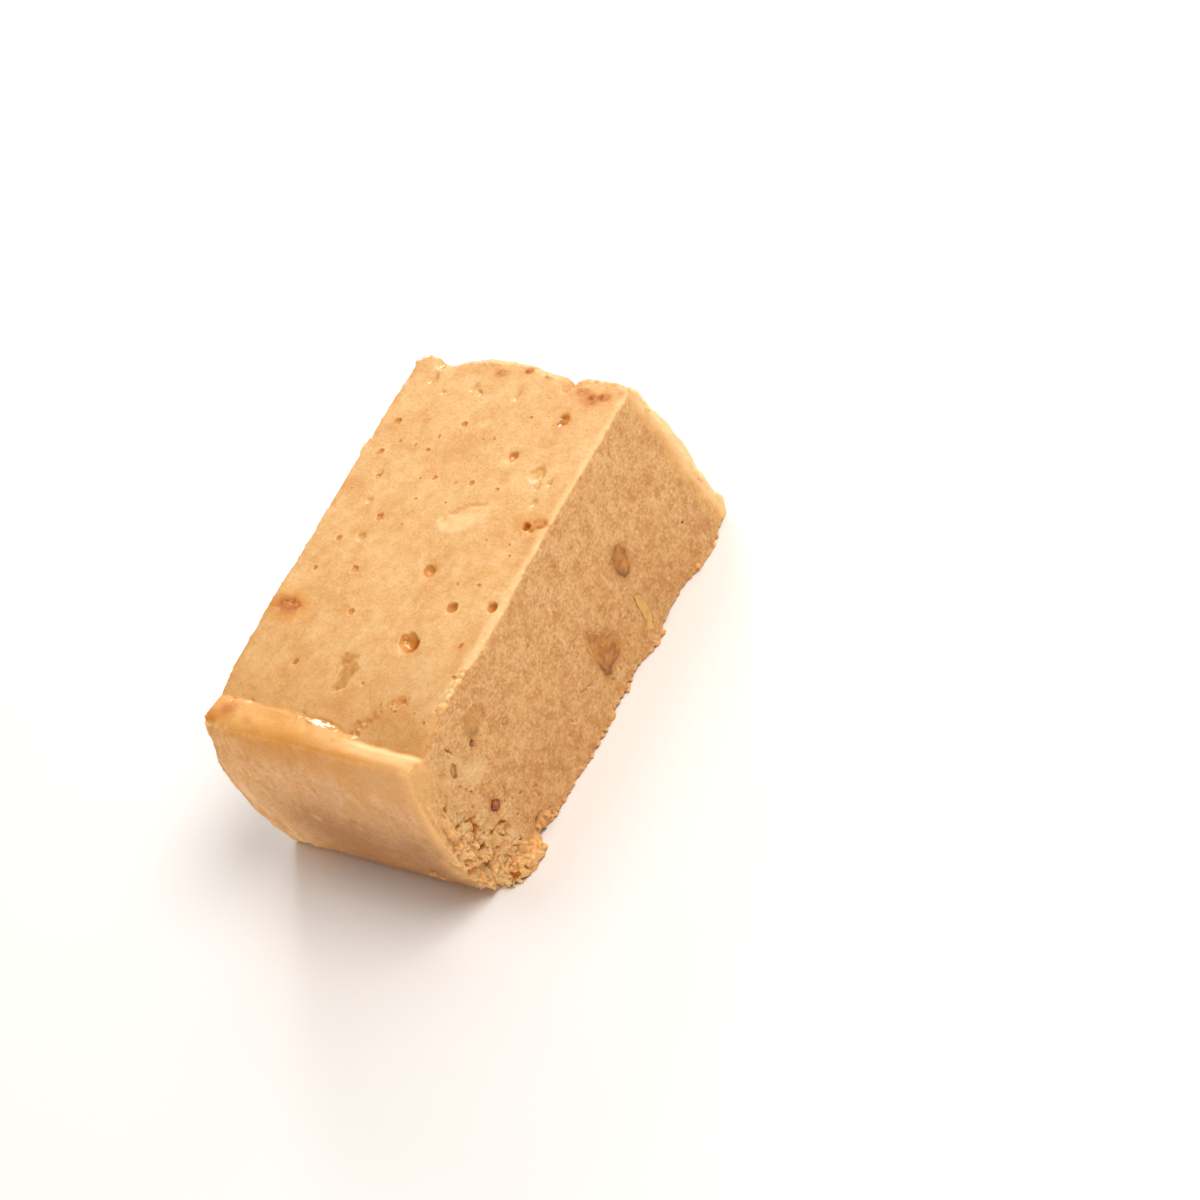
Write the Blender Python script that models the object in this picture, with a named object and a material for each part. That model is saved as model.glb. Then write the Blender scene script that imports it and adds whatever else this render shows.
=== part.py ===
"""A block of soft nut turron, cut from the rim of a slab that set in a tray.

The front end is the slab's moulded edge: a wall that bulges out, under a lip where the warm paste clung to the
side of the tray, with a sag behind it. The two long sides and the far end are knife cuts, a little ragged, and
the paste spreads at their foot. The top holds a few burst bubbles, and one lower corner has crumbled.

Metres, +Z up, +Y along the block from the lip to the cut end. While it is shaped, the block starts at x = 0,
y = 0, z = 0, at the left foot of its lip. At the end its bounding box is centred over the origin.
"""

import math

import bmesh
import bpy
from mathutils import Vector, noise

MM = 0.001

# Driving dimensions: from the lip to the cut end, between the cut sides, and from the base to the top.
LENGTH = 50.0 * MM
WIDTH = 31.1 * MM
HEIGHT = 22.7 * MM

# The moulded front wall: how far it bulges, at what height, and the radius of its upper and lower edges.
WALL_BULGE = 2.6 * MM
WALL_WIDEST = 9.0 * MM
WALL_POWER = 2.2
LIP_RADIUS = 1.1 * MM
FOOT_RADIUS = 0.95 * MM

# The sag behind the lip, at the left side and at the right side: where the lip's back slope begins, where it
# meets the sag in a crease, where the top is level again, and how deep the crease is.
SAG_LEFT = (1.0 * MM, 3.8 * MM, 11.5 * MM, 0.8 * MM)
SAG_RIGHT = (0.2 * MM, 2.6 * MM, 9.0 * MM, 1.35 * MM)
SAG_STEP = (13.0 * MM, 23.0 * MM)  # across the width, where the left sag turns into the right one

CROWN = 0.15 * MM  # the top is this much higher half way along
END_BULGE = 1.1 * MM  # the cut end swells at half height
END_BOW = 0.7 * MM  # and half way across
BOTTOM_SPREAD = 0.5 * MM  # the least that a cut side stands out at its foot
SPREAD_POWER = 3.0  # how fast that dies away upwards
RIGHT_BOW = (17.0 * MM, 0.6 * MM, 8.0 * MM)  # the right side swells: where, how far, and half the length

# Where the right side's foot stands out further: the place along the block, how far, and half the length.
FOOT_SWELLS = (
    (5.0 * MM, 0.9 * MM, 1.6 * MM),
    (21.5 * MM, 0.25 * MM, 2.6 * MM),
    (32.5 * MM, 1.2 * MM, 2.2 * MM),
    (44.5 * MM, 1.2 * MM, 3.4 * MM),
)

# The crumbled corner, at the foot of the right side under the lip: its middle, its reach and its depth.
CRUMBLE_AT = Vector((WIDTH, -1.0 * MM, 1.5 * MM))
CRUMBLE_REACH = 8.5 * MM
CRUMBLE_DEPTH = 1.5 * MM

# Unevenness of the skin, of the cuts, and of the edges round the cuts at the top and at the foot, and the size
# of the lumps that it follows.
SKIN_UNEVEN = 0.10 * MM
CUT_UNEVEN = 0.11 * MM
TOP_EDGE_UNEVEN = 0.10 * MM
FOOT_EDGE_UNEVEN = 0.30 * MM
LUMP = 2.6 * MM

# The spacing of the rows of points, everywhere and near the lip and the foot.
ROW = 1.25 * MM
FINE_ROW = 0.62 * MM
FINE_LENGTH = 5.0 * MM  # along the top, behind the lip
FINE_HEIGHT = 2.5 * MM  # up and down the wall, at its two edges

# Burst bubbles in the top: the middle across and along the block, the radius, and how much deeper than a
# ball's half they go, in parts of the radius.
BUBBLES = (
    (22.0 * MM, 14.6 * MM, 1.30 * MM, -0.15),
    (24.75 * MM, 19.9 * MM, 0.70 * MM, 0.0),
    (29.8 * MM, 20.9 * MM, 0.72 * MM, 0.0),
    (19.0 * MM, 23.6 * MM, 1.10 * MM, -0.45),
    (20.8 * MM, 39.4 * MM, 1.10 * MM, -0.45),
)

# Lumps torn out of the edges: the middle, and the radius.
NICKS = (
    (Vector((22.6 * MM, LENGTH + 0.75 * MM, HEIGHT + 0.2 * MM)), 1.35 * MM),
    (Vector((WIDTH + 1.3 * MM, 7.9 * MM, 0.9 * MM)), 1.7 * MM),
    (Vector((WIDTH + 0.5 * MM, 0.4 * MM, 6.6 * MM)), 1.0 * MM),
)


def step(low, high, value):
    """0 below low, 1 above high, and a smooth rise between them."""
    t = min(max((value - low) / (high - low), 0.0), 1.0)
    return t * t * (3.0 - 2.0 * t)


def mix(a, b, t):
    return a + (b - a) * t


def rows(length, fine_start, fine_end):
    """Where to cut a length into rows: closer together over the fine stretches at its start and its end."""
    cuts = [FINE_ROW * n for n in range(1, round(fine_start / FINE_ROW) + 1)]
    ends = sorted(length - FINE_ROW * n for n in range(1, round(fine_end / FINE_ROW) + 1))
    first = cuts[-1] if cuts else 0.0
    last = ends[0] if ends else length
    count = round((last - first) / ROW)
    return cuts + [mix(first, last, n / count) for n in range(1, count)] + ends


def row_block():
    """A plain block cut into rows along each axis, with one undivided base."""
    block = bmesh.new()
    bmesh.ops.create_cube(block, size=1.0)
    bmesh.ops.translate(block, verts=block.verts, vec=(0.5, 0.5, 0.5))
    bmesh.ops.scale(block, verts=block.verts, vec=(WIDTH, LENGTH, HEIGHT))
    for axis, cuts in (
        (Vector((1, 0, 0)), rows(WIDTH, 0.0, 0.0)),
        (Vector((0, 1, 0)), rows(LENGTH, FINE_LENGTH, 0.0)),
        (Vector((0, 0, 1)), rows(HEIGHT, FINE_HEIGHT, FINE_HEIGHT)),
    ):
        for place in cuts:
            whole = block.verts[:] + block.edges[:] + block.faces[:]
            bmesh.ops.bisect_plane(block, geom=whole, plane_co=axis * place, plane_no=axis)
    return block


def round_front_edges(point):
    """Lays the rows next to the front's upper and lower edges on a quarter circle."""
    low = point.z < HEIGHT / 2
    radius = FOOT_RADIUS if low else LIP_RADIUS
    depth = point.z if low else HEIGHT - point.z
    if point.y >= radius or depth >= radius:
        return point
    along = point.y + radius - depth
    angle = math.pi / 2 * along / (2 * radius)
    inward = radius * (1 - math.cos(angle))
    depth = radius * (1 - math.sin(angle))
    return Vector((point.x, inward, depth if low else HEIGHT - depth))


def wall_bulge(z):
    """How far the front wall stands out at a height."""
    off = abs(z - WALL_WIDEST) / (HEIGHT - WALL_WIDEST)
    return WALL_BULGE * (1 - off**WALL_POWER)


def lip_sag(x, y):
    """How far the top is below level behind the lip: it steepens down to a crease, where the lip's back rises."""
    side = step(*SAG_STEP, x)
    crest, crease, level, depth = (mix(a, b, side) for a, b in zip(SAG_LEFT, SAG_RIGHT))
    if y < crease:
        return depth * max(0.0, (y - crest) / (crease - crest)) ** 1.5
    return depth * max(0.0, (level - y) / (level - crease)) ** 2


def swell(y, at, height, half):
    """A smooth swelling along the block."""
    return height * math.exp(-(((y - at) / half) ** 2))


def right_spread(y, z):
    """How far the right cut side stands out, most at its foot."""
    foot = BOTTOM_SPREAD + sum(swell(y, *place) for place in FOOT_SWELLS)
    return swell(y, *RIGHT_BOW) + foot * (1 - z / HEIGHT) ** SPREAD_POWER


def lumps(point, size, offset):
    """Smooth unevenness from about -1 to 1, with lumps of a given size."""
    return 1.6 * noise.noise(point / size + Vector((offset, offset * 2, -offset)))


def shaped(point):
    """Where a point of the plain block lies on the real one."""
    x, y, z = point
    on_left, on_right = x < MM / 10, x > WIDTH - MM / 10
    on_end, on_base, on_top = y > LENGTH - MM / 10, z < MM / 10, z > HEIGHT - MM / 10
    faces = on_left + on_right + on_end + on_base + on_top
    p = round_front_edges(point)
    height = p.z / HEIGHT

    front = 1 - step(0.0, LENGTH / 4, y)
    p.y -= wall_bulge(p.z) * front
    end = step(LENGTH * 0.75, LENGTH, y)
    middle = (p.z / HEIGHT - 0.5) * 2
    p.y += end * (END_BULGE * (1 - middle**2) + END_BOW * math.sin(math.pi * x / WIDTH))

    side = (x / WIDTH - 0.5) * 2
    if side > 0:
        p.x += right_spread(y, p.z) * side
    else:
        p.x += BOTTOM_SPREAD * (1 - height) ** SPREAD_POWER * side

    if not on_base:
        p.z += (CROWN * math.sin(math.pi * y / LENGTH) - lip_sag(x, y)) * height**3

    # The cut faces are uneven, and their edges more so the lower they are. The skin hardly is.
    uneven = mix(FOOT_EDGE_UNEVEN, TOP_EDGE_UNEVEN, height) if faces > 1 else CUT_UNEVEN
    if on_left or on_right:
        p.x += uneven * lumps(point, LUMP, 3.1 if on_left else 5.7)
    if on_end:
        p.y += 2 * uneven * lumps(point, LUMP, 8.3)
    if not on_base:
        p.z += SKIN_UNEVEN * lumps(point, LUMP * 2, 1.9) * height

    # Crumbs have broken away from one corner.
    near = 1 - step(0.15, 1.0, (point - CRUMBLE_AT).length / CRUMBLE_REACH)
    broken = near * CRUMBLE_DEPTH * (0.45 + 0.55 * lumps(point, LUMP * 0.5, 4.4))
    if on_right:
        p.x -= broken
    if y < LENGTH / 4:
        p.y += broken * 0.5
    return p


def turron_body():
    """The block's outline, closed, with a flat base."""
    block = row_block()
    for vert in block.verts:
        vert.co = shaped(vert.co.copy())
    base = [face for face in block.faces if all(vert.co.z < MM / 100 for vert in face.verts)]
    bmesh.ops.dissolve_faces(block, faces=base)
    bmesh.ops.recalc_face_normals(block, faces=block.faces)
    return block


def add_object(name, body, collection):
    mesh = bpy.data.meshes.new(name)
    body.to_mesh(mesh)
    body.free()
    obj = bpy.data.objects.new(name, mesh)
    collection.objects.link(obj)
    return obj


def hollow(name, middle, radius, collection):
    """A ball that cuts a hollow out of the block."""
    ball = bmesh.new()
    bmesh.ops.create_icosphere(ball, subdivisions=2, radius=radius)
    bmesh.ops.translate(ball, verts=ball.verts, vec=middle)
    cutter = add_object(name, ball, collection)
    cutter.hide_render = True
    cutter.display_type = "WIRE"
    return cutter


def cut(target, cutter):
    boolean = target.modifiers.new(cutter.name, "BOOLEAN")
    boolean.operation = "DIFFERENCE"
    boolean.solver = "EXACT"
    boolean.object = cutter


def cut_bubbles(block, collection):
    for number, (x, y, radius, deeper) in enumerate(BUBBLES, 1):
        surface = HEIGHT + CROWN * math.sin(math.pi * y / LENGTH) - lip_sag(x, y)
        middle = Vector((x, y, surface - radius * deeper))
        cut(block, hollow(f"bubble_{number}", middle, radius, collection))


def cut_nicks(block, collection):
    for number, (middle, radius) in enumerate(NICKS, 1):
        cut(block, hollow(f"nick_{number}", middle, radius, collection))


def nut_paste():
    """Toffee-coloured ground nuts and sugar: satin, with no metal."""
    material = bpy.data.materials.new("nut_paste")
    material.use_nodes = True
    shader = material.node_tree.nodes["Principled BSDF"]
    shader.inputs["Base Color"].default_value = (0.79, 0.47, 0.19, 1.0)
    shader.inputs["Roughness"].default_value = 0.5
    shader.inputs["Metallic"].default_value = 0.0
    return material


def centre_over_origin(block, followers):
    """Moves the block and its cutters so that the block's box stands centred on the origin."""
    corners = [vert.co for vert in block.data.vertices]
    low = Vector(min(c[axis] for c in corners) for axis in range(3))
    high = Vector(max(c[axis] for c in corners) for axis in range(3))
    shift = Vector((-(low.x + high.x) / 2, -(low.y + high.y) / 2, -low.z))
    for obj in [block, *followers]:
        for vert in obj.data.vertices:
            vert.co += shift


def main():
    for obj in list(bpy.data.objects):
        bpy.data.objects.remove(obj, do_unlink=True)
    parts = bpy.data.collections.new("turron")
    cutters = bpy.data.collections.new("cutters")
    for collection in (parts, cutters):
        bpy.context.scene.collection.children.link(collection)
    block = add_object("turron_block", turron_body(), parts)
    block.data.materials.append(nut_paste())
    cut_bubbles(block, cutters)
    cut_nicks(block, cutters)
    centre_over_origin(block, cutters.objects)
    block.data.shade_smooth()
    block.data.set_sharp_from_angle(angle=math.radians(40))


main()
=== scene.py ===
import itertools
import math
import random

import bmesh
import bpy
import numpy as np
from mathutils import Euler, Matrix, Vector, noise


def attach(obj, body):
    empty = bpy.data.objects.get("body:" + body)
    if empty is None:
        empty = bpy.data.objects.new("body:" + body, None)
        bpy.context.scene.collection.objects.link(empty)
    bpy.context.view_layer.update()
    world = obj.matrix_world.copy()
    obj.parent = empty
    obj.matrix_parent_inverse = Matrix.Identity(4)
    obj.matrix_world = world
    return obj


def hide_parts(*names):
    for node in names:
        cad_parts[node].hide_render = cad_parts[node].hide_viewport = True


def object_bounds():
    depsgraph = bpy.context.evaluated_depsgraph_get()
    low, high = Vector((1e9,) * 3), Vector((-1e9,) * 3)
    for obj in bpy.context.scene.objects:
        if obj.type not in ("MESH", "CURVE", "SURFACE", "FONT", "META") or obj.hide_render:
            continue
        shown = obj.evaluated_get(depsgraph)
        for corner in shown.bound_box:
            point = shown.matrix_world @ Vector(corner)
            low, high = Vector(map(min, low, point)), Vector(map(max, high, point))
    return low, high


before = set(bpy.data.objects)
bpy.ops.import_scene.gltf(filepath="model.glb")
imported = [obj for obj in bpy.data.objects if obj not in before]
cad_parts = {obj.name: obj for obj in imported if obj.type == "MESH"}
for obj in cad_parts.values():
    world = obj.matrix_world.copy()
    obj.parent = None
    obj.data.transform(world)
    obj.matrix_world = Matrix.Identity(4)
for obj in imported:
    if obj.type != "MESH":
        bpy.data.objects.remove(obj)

MM = 0.001
cad_low, cad_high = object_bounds()

# Places on the block are in millimetres from the left foot of its lip: x across to the right cut side, y
# along to the cut end, z up. The CAD box starts where the left foot and the front wall stand out furthest.
LEFT_FOOT = 0.72
WALL_BULGE = 2.60
CORNER = Vector(cad_low) + Vector((LEFT_FOOT, WALL_BULGE, 0.0)) * MM
WIDTH, LENGTH, HEIGHT = 31.1, 50.0, 22.7
OUTSIDE = 60.0  # a place well outside the block on any side

# The room's light at the horizon and overhead.
WORLD_LOW = 0.04
WORLD_HIGH = 0.07

# How finely the shapes are made: the size of the squares of the block's outline, of its finished surface and
# of the nut pieces, and how many triangles the block keeps when it is thinned.
OUTLINE_VOXEL = 0.25
PASTE_VOXEL = 0.13
NUT_VOXEL = 0.11
PASTE_TRIANGLES = 190_000

# Rounds of smoothing: for the knife's slightly worn edges, for the syrup lip, and for the much softer copy
# that tells which way the surface faces.
WORN_ROUNDS = 22
LIP_ROUNDS = 100
FACING_ROUNDS = 70

# How deep the paste is cut back: for the nut pieces and for all that lies in the sides turned away, then for
# the small bits and for the caramel in the right side.
NUT_BED = 0.40
BIT_BED = 0.35
CARAMEL_BED = 0.45

# How many times a crumb is tried at the broken corner, the crumbs in a clump, and the pinpricks in the top.
CORNER_TRIES = 900
CLUMP_CRUMBS = 9
PINPRICKS = 150

# Odd numbers that scramble a cell's place into a random-looking one.
CELL_PRIMES = (73856093, 19349663, 83492791)
SCRAMBLER = 1274126177

# Where the skin dips to a crease behind the lip: its place along the block at the left and at the right, and
# where across the width it turns from one into the other.
CREASE = (3.8, 2.6)
CREASE_TURN = (13.0, 23.0)

# Bubbles that burst at the top: across, along, width and depth.
BUBBLES = (
    (21.5, 14.9, 2.1, 0.45), (22.3, 14.5, 1.8, 1.15), (20.7, 15.3, 0.9, 0.3), (24.75, 19.9, 1.35, 0.85),
    (29.8, 20.9, 1.35, 0.85), (19.0, 23.6, 1.5, 0.40), (20.8, 39.4, 1.4, 0.40), (28.1, 31.3, 1.0, 1.10),
    (8.0, 28.9, 0.9, 0.35), (28.9, 30.9, 0.5, 0.35),
)

# Pinholes in the top: across, along and width.
PITS = (
    (2.6, 40.9, 1.0), (12.0, 42.2, 0.95), (9.5, 40.0, 0.6), (4.5, 38.5, 0.45), (7.0, 38.4, 0.45),
    (9.0, 38.1, 0.65), (2.8, 36.7, 1.05), (4.4, 33.6, 0.85), (12.3, 34.9, 0.75), (10.5, 34.4, 0.4),
    (17.7, 35.0, 0.85), (15.6, 40.8, 0.35), (17.1, 41.1, 0.5), (20.4, 44.4, 0.5), (21.5, 34.8, 0.5),
    (15.7, 32.0, 0.4), (11.5, 31.9, 0.45), (4.3, 25.1, 0.7), (1.8, 31.6, 0.4), (11.7, 28.3, 0.35),
    (24.0, 28.5, 0.35), (27.3, 28.8, 0.4), (28.1, 27.3, 0.45), (9.0, 22.0, 0.95), (3.4, 20.9, 0.75),
    (23.6, 22.7, 0.5), (26.5, 23.2, 0.5), (11.9, 16.6, 0.9), (28.7, 15.7, 0.5), (30.2, 12.0, 0.65),
    (18.8, 8.9, 0.55), (25.0, 6.5, 0.6), (27.7, 6.8, 0.35), (24.2, 7.2, 0.45), (29.6, 5.9, 0.55),
)

# Shallow dents with a wet shine: across, along, width, depth.
DENTS = (
    (25.7, 37.7, 2.3, 0.42), (26.4, 36.2, 1.2, 0.24), (27.4, 34.4, 1.0, 0.22), (27.8, 37.0, 1.1, 0.18),
    (7.2, 25.8, 1.3, 0.20), (3.9, 49.2, 1.8, 0.30), (3.9, 47.3, 1.7, 0.30), (6.4, 45.9, 0.9, 0.12),
    (24.8, 45.0, 2.2, 0.16), (10.2, 46.9, 1.4, 0.22), (11.2, 46.4, 1.0, 0.16), (16.5, 46.8, 1.6, 0.10),
    (8.3, 9.4, 0.9, 0.12), (5.4, 30.6, 1.2, 0.16), (4.3, 34.0, 1.3, 0.14),
)

# Where the wet crease behind the lip glints: across, along, half the length. The slope of the pooled syrup
# there, across and along, is chosen so that it mirrors the low kicker. Its real slope isn't known.
GLINT_SLOPE = (-0.09, -0.41)
GLINTS = ((4.9, 3.9, 0.35), (12.7, 3.6, 0.45), (16.4, 3.4, 2.0), (21.0, 2.9, 0.45), (2.4, 3.6, 0.3))

# Grooves in the top: the points they run through, their width and depth.
TOP_GROOVES = (
    (((17.6, 30.9), (18.6, 32.0), (19.8, 32.6), (21.3, 33.0)), 0.9, 0.14),
    (((30.1, 8.9), (30.0, 8.2), (30.3, 7.6)), 0.35, 0.25),
    (((29.0, 30.9), (30.2, 31.6)), 0.8, 0.16),
    (((13.6, 12.4), (14.2, 10.6), (14.6, 9.2)), 0.4, 0.07),
)

# The rough band where the sag tore behind the lip.
TORN_BAND = ((19.8, 2.6), (21.5, 4.2), (23.2, 6.3), (25.6, 8.0))

# A patch of the top where a piece of skin came off: its corners.
BARE_PATCH = ((14.5, 11.6), (16.4, 11.6), (17.2, 9.9), (17.0, 8.5), (16.4, 7.3), (15.0, 7.6), (15.0, 9.6))

# A pale nut just under the skin: its corners.
PALE_NUT = ((16.3, 29.3), (18.0, 30.6), (21.6, 31.6), (21.8, 30.6), (19.9, 28.9), (17.6, 28.3))

# Where the skin flaked off the top's right edge.
FLAKED_EDGE = ((30.9, 12.2), (30.6, 11.0), (30.5, 9.6), (30.7, 8.2))

# Toffee-brown places on the top: across, along, half width, half length, strength.
STAINS = (
    (2.9, 15.7, 2.3, 1.4, 0.90), (6.4, 41.7, 0.6, 0.5, 0.35), (24.8, 45.0, 0.9, 1.2, 0.75),
    (25.2, 48.7, 1.2, 0.8, 0.60), (26.8, 48.2, 1.4, 0.9, 0.80), (28.3, 48.6, 1.0, 0.6, 0.80),
    (16.3, 50.3, 0.7, 0.6, 1.00), (16.7, 47.7, 0.9, 1.0, 0.15), (30.4, 49.4, 0.6, 0.4, 0.35),
    (29.9, 31.9, 1.3, 0.8, 0.60), (28.1, 31.3, 0.6, 0.6, 1.00), (8.3, 9.4, 0.5, 0.4, 0.50),
    (28.7, 15.7, 0.35, 0.35, 0.45), (15.5, 34.7, 0.35, 0.3, 0.40), (22.6, 5.2, 2.4, 1.4, 0.25),
    (12.6, 49.3, 1.2, 0.6, 0.60), (9.3, 49.0, 0.5, 0.4, 0.25), (20.6, 4.4, 0.5, 0.5, 0.35),
)

# Golden-brown lumps of syrup at the lip's left end, given in the same way.
LIP_LUMPS = ((2.7, 2.2, 1.6, 1.2, 1.00), (1.2, 1.3, 1.2, 1.0, 0.75), (6.5, 1.7, 0.5, 0.8, 0.45))

# How the cut end runs along its top: across, how far it stands out from the CAD's end, and half the width.
END_EDGE = ((-0.2, -0.9, 1.0), (4.9, -0.85, 1.7), (13.5, 0.55, 5.0), (22.8, -1.35, 0.9), (28.5, 0.65, 4.0))

# Marks on the moulded wall: across, up, half width, half height, and strength (below 0 for a pale one).
WALL_MARKS = (
    (17.8, 12.1, 0.7, 0.5, 0.45), (19.4, 11.6, 1.3, 0.35, 0.30), (11.5, 10.7, 0.6, 0.8, -0.45),
    (14.6, 16.0, 0.3, 0.8, 0.30), (5.8, 19.0, 0.25, 0.9, 0.35), (9.5, 18.3, 0.25, 0.7, 0.25),
    (12.0, 8.4, 2.6, 1.0, 0.20), (24.4, 9.0, 1.8, 0.9, 0.20), (3.6, 12.0, 0.35, 2.5, 0.20),
)

# Nut pieces cut through flush with the right side: corners (along, up), and tone from 0 brown to 1 yellow.
RIGHT_NUTS = (
    (((27.0, 9.8), (28.3, 7.4), (29.5, 5.1), (29.0, 3.5), (27.9, 3.4), (26.7, 3.6), (25.8, 3.1), (25.1, 3.9),
      (25.2, 5.1), (25.6, 6.7), (25.7, 8.1)), 0.15),
    (((37.2, 12.2), (37.3, 10.6), (36.9, 9.2), (35.8, 8.3), (34.9, 8.6), (34.5, 10.0), (34.7, 11.4),
      (35.4, 12.4), (36.4, 12.7)), 0.12),
    (((34.2, 6.3), (34.9, 5.4), (34.5, 3.2), (33.2, 1.5), (32.6, 2.4), (33.6, 4.3)), 1.0),
    (((10.0, 19.2), (9.9, 17.4), (9.3, 16.5), (8.3, 17.0), (8.5, 18.2), (9.2, 19.2)), 0.45),
    (((4.7, 17.6), (4.9, 16.6), (4.1, 15.5), (3.5, 15.9), (4.0, 17.0)), 0.10),
)

# Smaller round bits on the right side: along, up, radius, tone.
RIGHT_BITS = (
    (44.7, 7.9, 0.32, 0.9), (31.4, 6.7, 0.26, 0.2), (31.6, 5.9, 0.22, 0.2), (22.3, 13.0, 0.40, 0.8),
    (20.4, 16.9, 0.30, 0.4), (11.1, 15.6, 0.35, 0.6), (12.5, 13.9, 0.45, 0.4),
)

# Dark caramel bits on the right side: along, up, radius.
RIGHT_CARAMEL = ((5.1, 8.4, 0.62), (44.7, 5.6, 0.18), (7.9, 16.3, 0.30))

# Toffee-brown places on the right side: along, up, half length, half height, strength.
RIGHT_STAINS = (
    (5.0, 8.7, 0.9, 1.1, 0.85),
    (46.9, 2.5, 0.8, 0.9, 0.35), (5.1, 10.0, 0.5, 0.9, 0.30), (12.0, 14.8, 1.0, 1.6, 0.18),
    (35.6, 4.0, 0.5, 2.2, 0.15), (36.5, 5.6, 0.6, 1.4, 0.15), (17.4, 4.4, 0.4, 0.5, 0.30),
    (2.6, 4.6, 0.5, 0.5, 0.30), (7.9, 16.2, 0.5, 0.6, 0.50),
)

# The cut sides, by axis and sign.
RIGHT, LEFT, END = (0, 1), (0, -1), (1, 1)

# The same on the two sides that are turned away, all guessed: which side, corners or place, and tone.
HIDDEN_NUTS = (
    (LEFT, ((12.0, 13.5), (13.6, 14.4), (15.2, 13.2), (15.8, 11.0), (14.9, 9.4), (13.2, 9.0), (12.1, 10.6)),
     0.20),
    (LEFT, ((33.5, 7.4), (35.9, 7.9), (37.6, 6.9), (37.4, 5.5), (35.0, 4.9), (33.6, 5.7)), 0.12),
    (LEFT, ((24.2, 17.7), (25.7, 17.6), (27.2, 16.4), (27.3, 15.5), (25.0, 16.2)), 0.90),
    (END, ((8.0, 8.1), (9.6, 9.4), (11.7, 9.2), (12.4, 7.4), (11.2, 5.7), (9.0, 5.8)), 0.15),
    (END, ((22.6, 14.8), (24.0, 15.7), (25.9, 14.6), (25.3, 12.8), (23.4, 12.6)), 0.25),
    (END, ((17.2, 4.1), (18.6, 4.9), (19.9, 4.8), (20.3, 4.0), (18.9, 3.3)), 0.85),
)
HIDDEN_BITS = (
    (LEFT, 6.1, 6.0, 0.35, 0.3), (LEFT, 20.3, 5.2, 0.40, 0.8), (LEFT, 29.4, 12.4, 0.30, 0.2),
    (LEFT, 41.9, 14.6, 0.45, 0.5), (LEFT, 44.8, 4.4, 0.30, 0.2), (END, 4.2, 15.4, 0.35, 0.4),
    (END, 15.2, 12.6, 0.40, 0.8), (END, 27.7, 6.4, 0.35, 0.2),
)
HIDDEN_CARAMEL = (
    (LEFT, 30.9, 4.0, 0.60), (LEFT, 9.4, 18.2, 0.35), (END, 28.0, 10.4, 0.50), (END, 6.3, 3.3, 0.35),
)

# A paler lump of paste on the right side: its corners (along, up).
RIGHT_PALE = ((4.4, 18.6), (6.2, 16.6), (7.6, 13.0), (5.4, 12.6), (3.6, 15.0), (2.8, 17.0))

# Cracks in the right side: the points they run through (along, up), width and depth.
RIGHT_CRACKS = (
    (((5.2, 19.1), (5.4, 18.3)), 0.25, 0.4),
    (((21.5, 6.1), (22.2, 5.5)), 0.25, 0.25),
    (((22.6, 5.5), (23.1, 5.2)), 0.20, 0.20),
    (((8.1, 16.6), (7.8, 16.1)), 0.40, 0.6),
    (((1.9, 8.9), (1.2, 8.5), (0.4, 8.2)), 0.45, 0.8),
)

# Small holes in the right side: along, up, width.
RIGHT_HOLES = (
    (8.6, 12.2, 0.35), (9.7, 9.8, 0.35), (7.3, 8.6, 0.4), (7.1, 6.7, 0.4), (6.2, 4.9, 0.45), (5.1, 12.4, 0.4),
    (25.5, 2.6, 0.4), (27.1, 2.25, 0.4), (18.4, 5.1, 0.4), (17.0, 4.2, 0.4), (0.3, 14.6, 0.7),
    (3.5, 14.5, 0.45), (3.8, 13.5, 0.4), (4.1, 12.8, 0.5), (4.7, 12.2, 0.4), (5.6, 11.7, 0.35),
    (5.4, 10.5, 0.35), (8.4, 6.1, 0.45), (10.1, 4.8, 0.45), (1.0, 6.3, 0.8), (0.3, 6.6, 0.7),
    (2.2, 4.4, 0.5), (1.2, 3.9, 0.9), (0.3, 4.1, 0.9), (3.0, 11.2, 0.4), (2.4, 10.2, 0.45),
    (6.3, 7.6, 0.4), (3.4, 6.7, 0.35), (4.6, 6.0, 0.4), (11.0, 17.5, 0.3), (15.0, 15.2, 0.3),
)

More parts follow.
